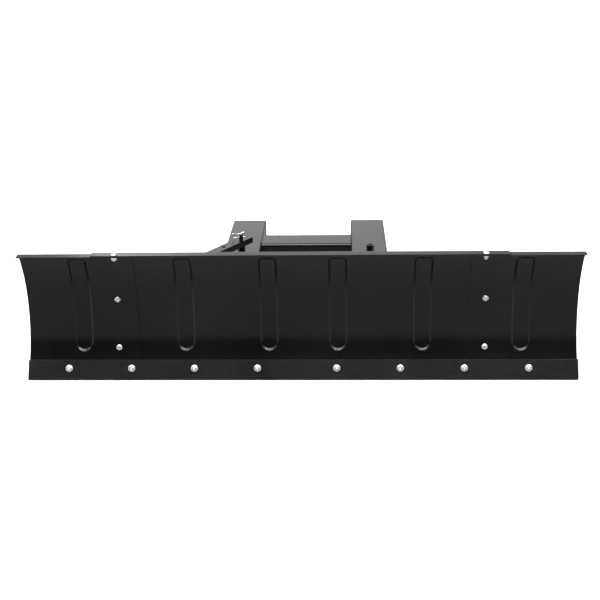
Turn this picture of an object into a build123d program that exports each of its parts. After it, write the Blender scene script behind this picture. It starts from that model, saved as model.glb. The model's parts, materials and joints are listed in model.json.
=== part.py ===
from build123d import *
import os
from math import atan2, cos, hypot, radians, sin, sqrt

# ATV plow blade: a rolled three-piece moldboard with a bolted cutting edge, carried by a
# king pin on a welded push frame and held at its angle by a drilled steering arm.
#
# Every piece is drawn in the working frame: the push frame level, x across the blade,
# y rearward and z up, with zero on the lower front corner of the cutting edge. The working
# frame itself is tipped back by the park angle, so that the unhitched plow rests on the
# cutting edge and on the rear ends of its side rails. All lengths are in millimetres.

# ---- driving dimensions --------------------------------------------------------------
blade_width = 1500
sheet = 3

edge_height = 55
edge_thickness = 6
edge_slope = 29
edge_bolt_pitch = 172.8
edge_bolt_middle_gap = 216
edge_bolt_shift = -10
edge_bolt_rise = 31

roll_radius = 308
flange_start = 15
roll_start = 65
lip_height = 351
lip_rear = 30
lip_depth = 25
lip_droop = 3.8

centre_half = 550
left_wing_inner = 446
right_wing_inner = 455
wing_outer = blade_width / 2 - 1.5

bead_width = 45
bead_depth = 3
bead_low = 68
bead_high = 331
bead_corner = 10
centre_beads = (94, 323)
centre_bead_shift = 8
wing_bead = 597

wing_bolt_x = 500
wing_bolt_angles = (0.5, -24.5)
lip_bolt_x = 488
lip_bolt_back = 17
lip_bend = 2

rail_spacing = 400
rail_width = 112
rail_height = 60
rail_top = 183
rail_front = 320
rail_rear = 862
plate = 4
rail_bend = 6
hitch_hole_radius = 8.25
hitch_hole_setback = 30

cross_height = 56
cross_bend = 9
front_cross_depth = 80
rear_cross_front = 607
rear_cross_depth = 100

king_pin_y = 168
king_pin_radius = 10
bush_radius = 13
sleeve_radius = 22
running_clearance = 0.05

beam_front = 104
beam_depth = 25
beam_low = 128
beam_height = 50
beam_half_length = 450
beam_wall = 3

rib_thickness = 5
inner_rib_x = 55
arm_bracket_x = 400
arm_pivot_y = 131

left_post_x = -193
right_post_x = 200
post_y = 460
post_radius = 11.5
post_height = 48
arm_width = 34
arm_thickness = 18
arm_gap = 0.5
arm_tail = 36
arm_settings = (0, 15, 30)
arm_pin_radius = 6
lock_pin_radius = 6
lock_hole_radius = 6.4
clip_wire_radius = 1.4
clip_hole_radius = 1.5
clip_bearing = 70

os.makedirs("parts", exist_ok=True)

# ---- the working frame ---------------------------------------------------------------
# The plow rests on the rear lower corner of the cutting edge and the rails' rear ends.
slope_up = (sin(radians(edge_slope)), cos(radians(edge_slope)))
slope_in = (cos(radians(edge_slope)), -sin(radians(edge_slope)))
heel = (edge_thickness * slope_in[0], edge_thickness * slope_in[1])
rail_bottom = rail_top - rail_height
park_angle = atan2(rail_bottom - heel[1], rail_rear - heel[0])
lift = heel[0] * sin(park_angle) - heel[1] * cos(park_angle)
depth = rail_rear * cos(park_angle) + rail_top * sin(park_angle)

work = Plane(
    origin=(0, -depth / 2, lift),
    x_dir=(1, 0, 0),
    z_dir=(0, sin(park_angle), cos(park_angle)),
)
up = Axis((0, 0, 0), work.z_dir)


def spot(x, y, z):
    """A point of the working frame, in the part's own frame."""
    return work.from_local_coords((x, y, z))


def level(z):
    """A plane facing up: sketch x across, sketch y rearward."""
    return Plane(spot(0, 0, z), x_dir=work.x_dir, z_dir=work.z_dir)


def section(x):
    """A plane facing +X: sketch x rearward, sketch y up."""
    return Plane(spot(x, 0, 0), x_dir=work.y_dir, z_dir=work.x_dir)


def front_view(y):
    """A plane facing forward: sketch x across, sketch y up."""
    return Plane(spot(0, y, 0), x_dir=work.x_dir, z_dir=-work.y_dir)


def along_slope(rise, inset):
    """A point (y, z) measured up the cutting edge's front face and in from it."""
    return (
        rise * slope_up[0] + inset * slope_in[0],
        rise * slope_up[1] + inset * slope_in[1],
    )


def edge_face(inset=0):
    """The cutting edge's front face: sketch x across, sketch y up the slope."""
    y, z = along_slope(0, inset)
    facing = work.y_dir * -slope_in[0] + work.z_dir * -slope_in[1]
    return Plane(spot(0, y, z), x_dir=work.x_dir, z_dir=facing)


roll_centre = along_slope(roll_start, edge_thickness - roll_radius)


def on_roll(radius, angle):
    """A point (y, z) on a circle about the roll's centre."""
    return (
        roll_centre[0] + radius * cos(radians(angle)),
        roll_centre[1] + radius * sin(radians(angle)),
    )


def roll_face(angle, inset=0):
    """A plane touching the wing's front face at an angle above the roll's middle."""
    y, z = on_roll(roll_radius + inset, angle)
    facing = work.y_dir * -cos(radians(angle)) + work.z_dir * -sin(radians(angle))
    return Plane(spot(0, y, z), x_dir=work.x_dir, z_dir=facing)


# ---- the moldboard's rolled section --------------------------------------------------
# The sheets lie in layers: the wings are layer 0, and the centre section is layer 1, one
# sheet behind them on the roll and one sheet above them on the lip.
lip_forward = (-cos(radians(lip_droop)), -sin(radians(lip_droop)))
lip_up = (lip_forward[1], -lip_forward[0])


def lip_corner(radius, layer):
    """Where a circle about the roll's centre meets the top of a lip layer."""
    y = lip_rear - roll_centre[0] + layer * sheet * lip_up[0]
    z = lip_height - roll_centre[1] + layer * sheet * lip_up[1]
    half = y * lip_forward[0] + z * lip_forward[1]
    reach = -half - sqrt(half**2 - y**2 - z**2 + radius**2)
    return (
        roll_centre[0] + y + reach * lip_forward[0],
        roll_centre[1] + z + reach * lip_forward[1],
    )


lip_back = lip_corner(roll_radius + sheet, 0)


def on_lip(forward, layer):
    """A point (y, z) on the top of a lip layer, forward of the wing's rear corner."""
    return (
        lip_back[0] + forward * lip_forward[0] + layer * sheet * lip_up[0],
        lip_back[1] + forward * lip_forward[1] + layer * sheet * lip_up[1],
    )


def lip_face(layer):
    """The top of a lip layer: sketch x across, sketch y rearward from the wing's corner."""
    y, z = on_lip(0, layer)
    facing = work.y_dir * lip_up[0] + work.z_dir * lip_up[1]
    return Plane(spot(0, y, z), x_dir=work.x_dir, z_dir=facing)


def rolled_sheet(layer, start, end):
    """One sheet of the moldboard between two stations across the blade."""
    front = roll_radius + layer * sheet
    back = front + sheet
    inset = edge_thickness + layer * sheet
    inner_corner = lip_corner(front, layer - 1)
    outer_corner = lip_corner(back, layer)
    with BuildPart() as board:
        with BuildSketch(section(start)) as profile:
            with BuildLine():
                Line(along_slope(flange_start, inset), along_slope(roll_start, inset))
                ThreePointArc(along_slope(roll_start, inset), on_roll(front, 0), inner_corner)
                Line(inner_corner, on_lip(lip_depth, layer - 1))
                Line(on_lip(lip_depth, layer - 1), on_lip(lip_depth, layer))
                Line(on_lip(lip_depth, layer), outer_corner)
                ThreePointArc(
                    outer_corner, on_roll(back, 0), along_slope(roll_start, inset + sheet)
                )
                Line(
                    along_slope(roll_start, inset + sheet),
                    along_slope(flange_start, inset + sheet),
                )
                Line(along_slope(flange_start, inset + sheet), along_slope(flange_start, inset))
            make_face()
            corners = profile.vertices().sort_by_distance(Vector(*inner_corner))
            fillet(corners[0], lip_bend + layer * sheet)
            corners = profile.vertices().sort_by_distance(Vector(*outer_corner))
            fillet(corners[0], lip_bend + (layer + 1) * sheet)
        extrude(amount=end - start)
    return board.part


def bead(x, layer, margin, near, far):
    """The space of a stamped bead between two depths behind the wing's front face."""
    width = bead_width + 2 * margin
    height = bead_high - bead_low + 2 * margin
    with BuildPart() as slug:
        with BuildSketch(front_view(0)) as outline:
            with Locations((x, (bead_high + bead_low) / 2)):
                SlotOverall(height, width, rotation=90)
            with Locations((x, bead_high + margin - width / 2)):
                Rectangle(width, width)
            fillet(outline.vertices().group_by(Axis.Y)[-1], bead_corner + margin)
        extrude(amount=-roll_radius)
        with BuildSketch(section(x - bead_width)):
            with Locations(roll_centre):
                Circle(roll_radius + layer * sheet + far)
                Circle(roll_radius + layer * sheet + near, mode=Mode.SUBTRACT)
        extrude(amount=2 * bead_width, mode=Mode.INTERSECT)
    return slug.part


# ---- bolts of the moldboard ----------------------------------------------------------
edge_bolt_xs = []
for hand in (-1, 1):
    for place in range(4):
        offset_x = edge_bolt_middle_gap / 2 + place * edge_bolt_pitch
        edge_bolt_xs.append(edge_bolt_shift + hand * offset_x)
outer_bolt_xs = [x for x in edge_bolt_xs if abs(x) > centre_half]
inner_bolt_xs = [x for x in edge_bolt_xs if abs(x) < centre_half]
spacer_xs = [x for x in edge_bolt_xs if -left_wing_inner < x < right_wing_inner]
thin_stack = edge_thickness + sheet
full_stack = edge_thickness + 2 * sheet

edge_bolt_radius = 5
edge_head_radius = 10.5
edge_head_height = 5.5
edge_nut_flats = 16
edge_nut_height = 8
edge_washer_radius = 10
washer_thickness = 2
small_bolt_radius = 4
small_head_radius = 8.5
small_head_height = 4.5
head_seat = 0.15
small_nut_flats = 13
small_nut_height = 6.5
small_washer_radius = 9
hole_margin = 0.5
fit_margin = 0.1
thread_tail = 4
drill_lead = 2 * sheet
drill_length = 8 * sheet


def at(xs, y=0):
    """Sketch places for one row of identical features."""
    return [(x, y) for x in xs]


def drill(places, bolt_radius, plane):
    """The bolt holes' solids, through every sheet that lies behind a plane."""
    with BuildPart() as drills:
        with BuildSketch(plane.offset(drill_lead)):
            with Locations(*places):
                Circle(bolt_radius + hole_margin)
        extrude(amount=-drill_length)
    return drills.part


def board_holes(edge_xs, wing_xs, lip_xs):
    """The solids removed for the bolts of one sheet of the moldboard."""
    with BuildPart() as holes:
        add(drill(at(edge_xs, edge_bolt_rise), edge_bolt_radius, edge_face()))
        for angle in wing_bolt_angles:
            add(drill(at(wing_xs), small_bolt_radius, roll_face(angle)))
        add(drill(at(lip_xs, -lip_bolt_back), small_bolt_radius, lip_face(0)))
    return holes.part


# ---- centre section ------------------------------------------------------------------
centre_bead_xs = [centre_bead_shift + hand * x for hand in (-1, 1) for x in centre_beads]
with BuildPart() as centre_moldboard:
    add(rolled_sheet(1, -centre_half, centre_half))
    for x in centre_bead_xs:
        add(bead(x, 1, sheet, sheet, sheet + bead_depth))
        add(bead(x, 1, 0, 0, bead_depth), mode=Mode.SUBTRACT)
    pair = (-wing_bolt_x, wing_bolt_x)
    lip_pair = (-lip_bolt_x, lip_bolt_x)
    add(board_holes(inner_bolt_xs, pair, lip_pair), mode=Mode.SUBTRACT)
centre_moldboard.part.label = "centre_moldboard"
export_step(centre_moldboard.part, "parts/centre_moldboard.step")

# ---- wings ---------------------------------------------------------------------------
for side, hand, inner in (("left", -1, left_wing_inner), ("right", 1, right_wing_inner)):
    wing_ends = sorted((hand * inner, hand * wing_outer))
    wing_edge_xs = [x for x in edge_bolt_xs if x * hand > inner]
    with BuildPart() as wing:
        add(rolled_sheet(0, *wing_ends))
        add(bead(hand * wing_bead, 0, sheet, sheet, sheet + bead_depth))
        add(bead(hand * wing_bead, 0, 0, 0, bead_depth), mode=Mode.SUBTRACT)
        holes = board_holes(wing_edge_xs, [hand * wing_bolt_x], [hand * lip_bolt_x])
        add(holes, mode=Mode.SUBTRACT)
    wing.part.label = f"{side}_wing"
    export_step(wing.part, f"parts/{side}_wing.step")

# ---- cutting edge and its fasteners --------------------------------------------------
with BuildPart() as cutting_edge:
    with BuildSketch(edge_face()):
        with Locations((0, edge_height / 2)):
            Rectangle(blade_width, edge_height)
        with Locations(*at(edge_bolt_xs, edge_bolt_rise)):
            Circle(edge_bolt_radius + hole_margin, mode=Mode.SUBTRACT)
    extrude(amount=-edge_thickness)
    chamfer(cutting_edge.edges().filter_by(Axis.X).sort_by(up)[-1], 1.5)
cutting_edge.part.label = "cutting_edge"
export_step(cutting_edge.part, "parts/cutting_edge.step")

with BuildPart() as cutting_edge_spacers:
    with BuildSketch(edge_face(edge_thickness)):
        with Locations(*at(spacer_xs, edge_bolt_rise)):
            Circle(edge_washer_radius)
            Circle(edge_bolt_radius + fit_margin, mode=Mode.SUBTRACT)
    extrude(amount=-sheet)
cutting_edge_spacers.part.label = "cutting_edge_spacers"
export_step(cutting_edge_spacers.part, "parts/cutting_edge_spacers.step")

edge_stacks = ((inner_bolt_xs, full_stack), (outer_bolt_xs, thin_stack))
with BuildPart() as cutting_edge_bolts:
    for xs, stack in edge_stacks:
        grip = stack + washer_thickness + edge_nut_height + thread_tail
        with BuildSketch(edge_face()):
            with Locations(*at(xs, edge_bolt_rise)):
                Circle(edge_bolt_radius)
        extrude(amount=-grip)
    with BuildSketch(edge_face()):
        with Locations(*at(edge_bolt_xs, edge_bolt_rise)):
            Circle(edge_head_radius)
    extrude(amount=edge_head_height)
    rims = cutting_edge_bolts.edges().filter_by(GeomType.CIRCLE)
    rims = rims.filter_by(lambda rim: abs(rim.radius - edge_head_radius) < fit_margin)
    outer_rims = rims.group_by(Axis((0, 0, 0), edge_face().z_dir))[-1]
    fillet(outer_rims, 0.8 * edge_head_height)
cutting_edge_bolts.part.label = "cutting_edge_bolts"
export_step(cutting_edge_bolts.part, "parts/cutting_edge_bolts.step")

with BuildPart() as cutting_edge_washers:
    for xs, stack in edge_stacks:
        with BuildSketch(edge_face(stack)):
            with Locations(*at(xs, edge_bolt_rise)):
                Circle(edge_washer_radius)
                Circle(edge_bolt_radius + fit_margin, mode=Mode.SUBTRACT)
        extrude(amount=-washer_thickness)
cutting_edge_washers.part.label = "cutting_edge_washers"
export_step(cutting_edge_washers.part, "parts/cutting_edge_washers.step")

with BuildPart() as cutting_edge_nuts:
    for xs, stack in edge_stacks:
        with BuildSketch(edge_face(stack + washer_thickness)):
            with Locations(*at(xs, edge_bolt_rise)):
                RegularPolygon(edge_nut_flats / 2, 6, major_radius=False)
                Circle(edge_bolt_radius + fit_margin, mode=Mode.SUBTRACT)
        extrude(amount=-edge_nut_height)
cutting_edge_nuts.part.label = "cutting_edge_nuts"
export_step(cutting_edge_nuts.part, "parts/cutting_edge_nuts.step")

# ---- bolts that join the wings to the centre section ---------------------------------
# The roll's bolts have their nuts behind the two sheets, the lip's bolts have theirs below.
wing_bolt_row = at((-wing_bolt_x, wing_bolt_x))
wing_bolt_places = [(roll_face(angle), wing_bolt_row) for angle in wing_bolt_angles]
lip_bolt_places = [(lip_face(1), at((-lip_bolt_x, lip_bolt_x), -lip_bolt_back))]


def small_bolts(places):
    """Round-headed bolts through two sheets, one row on each plane."""
    shank = 2 * sheet + washer_thickness + small_nut_height + thread_tail
    with BuildPart() as bolts:
        for plane, spots in places:
            with BuildSketch(plane.offset(head_seat)):
                with Locations(*spots):
                    Circle(small_bolt_radius)
            extrude(amount=-shank - head_seat)
            with BuildSketch(plane.offset(head_seat)):
                with Locations(*spots):
                    Circle(small_head_radius)
            extrude(amount=small_head_height)
            rims = bolts.edges(Select.LAST).filter_by(GeomType.CIRCLE)
            rims = rims.filter_by(lambda rim: abs(rim.radius - small_head_radius) < fit_margin)
            fillet(rims.group_by(Axis((0, 0, 0), plane.z_dir))[-1], 0.8 * small_head_height)
    return bolts.part


def small_washers(places):
    """Washers under the nuts of those bolts."""
    with BuildPart() as washers:
        for plane, spots in places:
            with BuildSketch(plane.offset(-2 * sheet)):
                with Locations(*spots):
                    Circle(small_washer_radius)
                    Circle(small_bolt_radius + fit_margin, mode=Mode.SUBTRACT)
            extrude(amount=-washer_thickness)
    return washers.part


def small_nuts(places):
    """Hexagon nuts on those bolts."""
    with BuildPart() as nuts:
        for plane, spots in places:
            with BuildSketch(plane.offset(-2 * sheet - washer_thickness)):
                with Locations(*spots):
                    RegularPolygon(small_nut_flats / 2, 6, major_radius=False)
                    Circle(small_bolt_radius + fit_margin, mode=Mode.SUBTRACT)
            extrude(amount=-small_nut_height)
    return nuts.part


for joint, places in (("wing", wing_bolt_places), ("lip", lip_bolt_places)):
    with BuildPart() as bolts:
        add(small_bolts(places))
    bolts.part.label = f"{joint}_bolts"
    export_step(bolts.part, f"parts/{joint}_bolts.step")

    with BuildPart() as washers:
        add(small_washers(places))
    washers.part.label = f"{joint}_washers"
    export_step(washers.part, f"parts/{joint}_washers.step")

    with BuildPart() as nuts:
        add(small_nuts(places))
    nuts.part.label = f"{joint}_nuts"
    export_step(nuts.part, f"parts/{joint}_nuts.step")

# ---- ribs and beam on the moldboard's back -------------------------------------------
rib_radius = roll_radius + 2 * sheet
rib_angles = (-26, 22)
rib_rear_low = 110
rib_rear_high = 275
for side, hand in (("left", -1), ("right", 1)):
    for place, x in (("inner", inner_rib_x), ("outer", arm_bracket_x)):
        foot, head = (on_roll(rib_radius, angle) for angle in rib_angles)
        with BuildPart() as rib:
            with BuildSketch(section(hand * x - rib_thickness / 2)):
                with BuildLine():
                    ThreePointArc(foot, on_roll(rib_radius, 0), head)
                    Polyline(head, (beam_front, rib_rear_high), (beam_front, rib_rear_low), foot)
                make_face()
            extrude(amount=rib_thickness)
        rib.part.label = f"{side}_{place}_rib"
        export_step(rib.part, f"parts/{side}_{place}_rib.step")

beam_middle = (beam_front + beam_depth / 2, beam_low + beam_height / 2)
beam_corner = 4
with BuildPart() as back_beam:
    with BuildSketch(section(-beam_half_length)):
        with Locations(beam_middle):
            RectangleRounded(beam_depth, beam_height, beam_corner)
            RectangleRounded(
                beam_depth - 2 * beam_wall,
                beam_height - 2 * beam_wall,
                beam_corner - beam_wall,
                mode=Mode.SUBTRACT,
            )
    extrude(amount=2 * beam_half_length)
back_beam.part.label = "back_beam"
export_step(back_beam.part, "parts/back_beam.step")

# ---- king pin bracket, welded to the beam --------------------------------------------
lug_thickness = 8
lug_low = 112
lug_high = 194
lug_half_width = 50
lug_end_radius = 28
web_front = beam_front + beam_depth
with BuildPart() as pivot_bracket:
    with BuildSketch(level(lug_low)):
        with BuildLine():
            Line((-lug_half_width, web_front), (lug_half_width, web_front))
            Line((lug_half_width, web_front), (lug_half_width, web_front + lug_thickness))
            Line((-lug_half_width, web_front), (-lug_half_width, web_front + lug_thickness))
            Line((lug_half_width, web_front + lug_thickness), (lug_end_radius, king_pin_y))
            Line((-lug_half_width, web_front + lug_thickness), (-lug_end_radius, king_pin_y))
            RadiusArc((-lug_end_radius, king_pin_y), (lug_end_radius, king_pin_y), lug_end_radius)
        make_face()
    extrude(amount=lug_high - lug_low)
    with BuildSketch(level(lug_low + lug_thickness)):
        with Locations((0, web_front + lug_thickness + lug_half_width)):
            Rectangle(4 * lug_half_width, 2 * lug_half_width)
    extrude(amount=lug_high - lug_low - 2 * lug_thickness, mode=Mode.SUBTRACT)
    with BuildSketch(level(lug_low)):
        with Locations((0, king_pin_y)):
            Circle(king_pin_radius + running_clearance)
    extrude(amount=lug_high - lug_low, mode=Mode.SUBTRACT)
pivot_bracket.part.label = "pivot_bracket"
export_step(pivot_bracket.part, "parts/pivot_bracket.step")

# ---- king pin, its nut and washers ---------------------------------------------------
king_head_flats = 30
king_head_height = 12.5
king_nut_height = 18
king_tail = 4
king_washer_thickness = 2.5
king_washer_radius = 19
with BuildPart() as king_pin:
    pin_foot = lug_low - king_nut_height - king_tail
    with BuildSketch(level(pin_foot)):
        with Locations((0, king_pin_y)):
            Circle(king_pin_radius)
    extrude(amount=lug_high - pin_foot)
    chamfer(king_pin.edges().filter_by(GeomType.CIRCLE).sort_by(up)[0], 1.5)
    with BuildSketch(level(lug_high)):
        with Locations((0, king_pin_y)):
            RegularPolygon(king_head_flats / 2, 6, major_radius=False)
    extrude(amount=king_head_height)
king_pin.part.label = "king_pin"
export_step(king_pin.part, "parts/king_pin.step")

with BuildPart() as king_pin_nut:
    with BuildSketch(level(lug_low)):
        with Locations((0, king_pin_y)):
            RegularPolygon(king_head_flats / 2, 6, major_radius=False)
            Circle(king_pin_radius + fit_margin, mode=Mode.SUBTRACT)
    extrude(amount=-king_nut_height)
king_pin_nut.part.label = "king_pin_nut"
export_step(king_pin_nut.part, "parts/king_pin_nut.step")

with BuildPart() as king_pin_washers:
    inner_low = lug_low + lug_thickness
    inner_high = lug_high - lug_thickness - king_washer_thickness
    for height in (inner_low, inner_high):
        with BuildSketch(level(height)):
            with Locations((0, king_pin_y)):
                Circle(king_washer_radius)
                Circle(king_pin_radius + fit_margin, mode=Mode.SUBTRACT)
        extrude(amount=king_washer_thickness)
king_pin_washers.part.label = "king_pin_washers"
export_step(king_pin_washers.part, "parts/king_pin_washers.step")

# ---- pivot sleeve and bush at the push frame's nose ----------------------------------
with BuildPart() as pivot_sleeve:
    with BuildSketch(level(rail_bottom)):
        with Locations((0, king_pin_y)):
            Circle(sleeve_radius)
            Circle(bush_radius, mode=Mode.SUBTRACT)
    extrude(amount=rail_height)
pivot_sleeve.part.label = "pivot_sleeve"
export_step(pivot_sleeve.part, "parts/pivot_sleeve.step")

with BuildPart() as pivot_bush:
    with BuildSketch(level(rail_bottom)):
        with Locations((0, king_pin_y)):
            Circle(bush_radius)
            Circle(king_pin_radius + running_clearance, mode=Mode.SUBTRACT)
    extrude(amount=rail_height)
pivot_bush.part.label = "pivot_bush"
export_step(pivot_bush.part, "parts/pivot_bush.step")

# ---- nose tube and its gussets -------------------------------------------------------
nose_width = 80
nose_height = 50
nose_middle_z = rail_top - rail_height / 2
with BuildPart() as nose_tube:
    with BuildSketch(front_view(rail_front)):
        with Locations((0, nose_middle_z)):
            RectangleRounded(nose_width, nose_height, rail_bend)
            RectangleRounded(
                nose_width - 2 * plate,
                nose_height - 2 * plate,
                rail_bend - plate,
                mode=Mode.SUBTRACT,
            )
    extrude(amount=rail_front - king_pin_y - sleeve_radius / 2)
    with BuildSketch(level(rail_bottom)):
        with Locations((0, king_pin_y)):
            Circle(sleeve_radius)
    extrude(amount=rail_height, mode=Mode.SUBTRACT)
nose_tube.part.label = "nose_tube"
export_step(nose_tube.part, "parts/nose_tube.step")

gusset_thickness = 8
gusset_tip_y = 225
gusset_reach = 100
for side, hand in (("left", -1), ("right", 1)):
    with BuildPart() as gusset:
        with BuildSketch(level(nose_middle_z - gusset_thickness / 2)):
            with BuildLine():
                Polyline(
                    (hand * nose_width / 2, gusset_tip_y),
                    (hand * nose_width / 2, rail_front),
                    (hand * (nose_width / 2 + gusset_reach), rail_front),
                    (hand * (nose_width / 2 + gusset_reach), rail_front - gusset_thickness),
                    close=True,
                )
            make_face()
        extrude(amount=gusset_thickness)
    gusset.part.label = f"{side}_gusset"
    export_step(gusset.part, f"parts/{side}_gusset.step")

# ---- side rails: channels open below and at their ends -------------------------------
cheek = rail_width - 2 * plate
for side, hand, post_x in (("left", -1, left_post_x), ("right", 1, right_post_x)):
    rail_x = hand * rail_spacing / 2
    with BuildPart() as rail:
        with BuildSketch(front_view(rail_front)) as rail_outline:
            with Locations((rail_x, rail_top - rail_height / 2)):
                Rectangle(rail_width, rail_height)
            fillet(rail_outline.vertices().group_by(Axis.Y)[-1], rail_bend)
        extrude(amount=rail_front - rail_rear)
        with BuildSketch(front_view(rail_front)) as rail_inside:
            with Locations((rail_x, rail_top - rail_height / 2 - plate)):
                Rectangle(cheek, rail_height)
            fillet(rail_inside.vertices().group_by(Axis.Y)[-1], rail_bend - plate)
        extrude(amount=rail_front - rail_rear, mode=Mode.SUBTRACT)
        with BuildSketch(section(rail_x - rail_width)):
            with Locations((rail_rear - hitch_hole_setback, rail_top - rail_height / 2)):
                Circle(hitch_hole_radius)
        extrude(amount=2 * rail_width, mode=Mode.SUBTRACT)
        with BuildSketch(level(rail_top)):
            with Locations((post_x, post_y)):
                Circle(lock_hole_radius)
        extrude(amount=-2 * plate, mode=Mode.SUBTRACT)
    rail.part.label = f"{side}_side_rail"
    export_step(rail.part, f"parts/{side}_side_rail.step")

# ---- cross members between the rails -------------------------------------------------
cross_length = rail_spacing - rail_width
cross_places = (
    ("front", rail_front, front_cross_depth),
    ("rear", rear_cross_front, rear_cross_depth),
)
for place, cross_front, cross_depth in cross_places:
    with BuildPart() as cross:
        with BuildSketch(section(-cross_length / 2)) as cross_outline:
            with Locations((cross_front + cross_depth / 2, rail_top - cross_height / 2)):
                Rectangle(cross_depth, cross_height)
            fillet(cross_outline.vertices().group_by(Axis.Y)[-1], cross_bend)
        extrude(amount=cross_length)
        with BuildSketch(section(-cross_length / 2)) as cross_inside:
            with Locations((cross_front + cross_depth / 2, rail_top - cross_height / 2 - plate)):
                Rectangle(cross_depth - 2 * plate, cross_height)
            fillet(cross_inside.vertices().group_by(Axis.Y)[-1], cross_bend - plate)
        extrude(amount=cross_length, mode=Mode.SUBTRACT)
    cross.part.label = f"{place}_cross_member"
    export_step(cross.part, f"parts/{place}_cross_member.step")

# ---- lifting eye on the front cross member -------------------------------------------
eye_thickness = 8
eye_radius = 16
eye_hole_radius = 8
eye_y = rail_front + front_cross_depth / 2
with BuildPart() as lift_eye:
    with BuildSketch(section(-eye_thickness / 2)):
        with Locations((eye_y, rail_top + eye_radius)):
            Circle(eye_radius)
        with Locations((eye_y, rail_top + eye_radius / 2)):
            Rectangle(2 * eye_radius, eye_radius)
        with Locations((eye_y, rail_top + eye_radius)):
            Circle(eye_hole_radius, mode=Mode.SUBTRACT)
    extrude(amount=eye_thickness)
lift_eye.part.label = "lift_eye"
export_step(lift_eye.part, "parts/lift_eye.step")

# ---- posts for the steering arm, one on each rail ------------------------------------
post_top = rail_top + post_height
for side, post_x in (("left", left_post_x), ("right", right_post_x)):
    with BuildPart() as post:
        with BuildSketch(level(rail_top)):
            with Locations((post_x, post_y)):
                Circle(post_radius)
                Circle(lock_hole_radius, mode=Mode.SUBTRACT)
        extrude(amount=post_height)
    post.part.label = f"{side}_post"
    export_step(post.part, f"parts/{side}_post.step")

# ---- arm brackets on the outer ribs --------------------------------------------------
arm_low = post_top + arm_gap
arm_high = arm_low + arm_thickness
bracket_plate = 5
bracket_gap = 1.5
bracket_low = arm_low - bracket_gap - bracket_plate
bracket_high = arm_high + bracket_gap + bracket_plate
bracket_width = 30
for side, hand in (("left", -1), ("right", 1)):
    bracket_x = hand * arm_bracket_x
    with BuildPart() as bracket:
        with BuildSketch(level(bracket_low)):
            with Locations((bracket_x, (beam_front + arm_pivot_y) / 2)):
                Rectangle(bracket_width, arm_pivot_y - beam_front)
            with Locations((bracket_x, arm_pivot_y)):
                Circle(bracket_width / 2)
        extrude(amount=bracket_high - bracket_low)
        with BuildSketch(level(bracket_low + bracket_plate)):
            with Locations((bracket_x, beam_front + bracket_plate + bracket_width)):
                Rectangle(2 * bracket_width, 2 * bracket_width)
        extrude(amount=bracket_high - bracket_low - 2 * bracket_plate, mode=Mode.SUBTRACT)
        with BuildSketch(level(bracket_low)):
            with Locations((bracket_x, arm_pivot_y)):
                Circle(arm_pin_radius + fit_margin)
        extrude(amount=bracket_high - bracket_low, mode=Mode.SUBTRACT)
    bracket.part.label = f"{side}_arm_bracket"
    export_step(bracket.part, f"parts/{side}_arm_bracket.step")

# ---- steering arm: a drilled bar from the left bracket to the left post --------------
arm_dx = arm_bracket_x + left_post_x
arm_dy = post_y - arm_pivot_y
arm_span = hypot(arm_dx, arm_dy)
arm_heading = Vector(arm_dx, arm_dy).normalized()


def setting_distance(turn):
    """From the arm's pivot to the post, with the blade's left end turned back."""
    x = -arm_bracket_x * cos(radians(turn)) + (arm_pivot_y - king_pin_y) * sin(radians(turn))
    y = arm_bracket_x * sin(radians(turn)) + (arm_pivot_y - king_pin_y) * cos(radians(turn))
    return hypot(x - left_post_x, y + king_pin_y - post_y)


def arm_plane(z):
    """A level plane at the arm's pivot: sketch x along the arm, towards the post."""
    heading = work.x_dir * arm_heading.X + work.y_dir * arm_heading.Y
    return Plane(spot(-arm_bracket_x, arm_pivot_y, z), x_dir=heading, z_dir=work.z_dir)


with BuildPart() as steering_arm:
    with BuildSketch(arm_plane(arm_low)):
        Circle(arm_width / 2)
        with Locations(((arm_span + arm_tail) / 2, 0)):
            Rectangle(arm_span + arm_tail, arm_width)
        Circle(arm_pin_radius + fit_margin, mode=Mode.SUBTRACT)
        with Locations(*at([setting_distance(turn) for turn in arm_settings])):
            Circle(lock_hole_radius, mode=Mode.SUBTRACT)
    extrude(amount=arm_thickness)
steering_arm.part.label = "steering_arm"
export_step(steering_arm.part, "parts/steering_arm.step")

# ---- headed pin and cotter at the arm's pivot ----------------------------------------
pin_head_radius = 10
pin_head_height = 5
pin_tail = 16
cotter_radius = 1.5
cotter_length = 26
cotter_z = bracket_low - pin_tail / 2
with BuildPart() as arm_pin:
    with BuildSketch(level(bracket_low - pin_tail)):
        with Locations((-arm_bracket_x, arm_pivot_y)):
            Circle(arm_pin_radius)
    extrude(amount=bracket_high - bracket_low + pin_tail)
    chamfer(arm_pin.edges().filter_by(GeomType.CIRCLE).sort_by(up)[0], 1)
    with BuildSketch(level(bracket_high)):
        with Locations((-arm_bracket_x, arm_pivot_y)):
            Circle(pin_head_radius)
    extrude(amount=pin_head_height)
    fillet(arm_pin.edges().filter_by(GeomType.CIRCLE).sort_by(up)[-1], 1.5)
    with BuildSketch(section(-arm_bracket_x - cotter_length / 2)):
        with Locations((arm_pivot_y, cotter_z)):
            Circle(cotter_radius + fit_margin)
    extrude(amount=cotter_length, mode=Mode.SUBTRACT)
arm_pin.part.label = "arm_pivot_pin"
export_step(arm_pin.part, "parts/arm_pivot_pin.step")

with BuildPart() as arm_cotter:
    with BuildSketch(section(-arm_bracket_x - cotter_length / 2)):
        with Locations((arm_pivot_y, cotter_z)):
            Circle(cotter_radius)
    extrude(amount=cotter_length)
    with BuildSketch(front_view(arm_pivot_y - cotter_radius)):
        with Locations((-arm_bracket_x - cotter_length / 2 - cotter_radius, cotter_z)):
            Circle(2.6 * cotter_radius)
            Circle(1.2 * cotter_radius, mode=Mode.SUBTRACT)
    extrude(amount=-2 * cotter_radius)
arm_cotter.part.label = "arm_pin_cotter"
export_step(arm_cotter.part, "parts/arm_pin_cotter.step")

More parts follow.
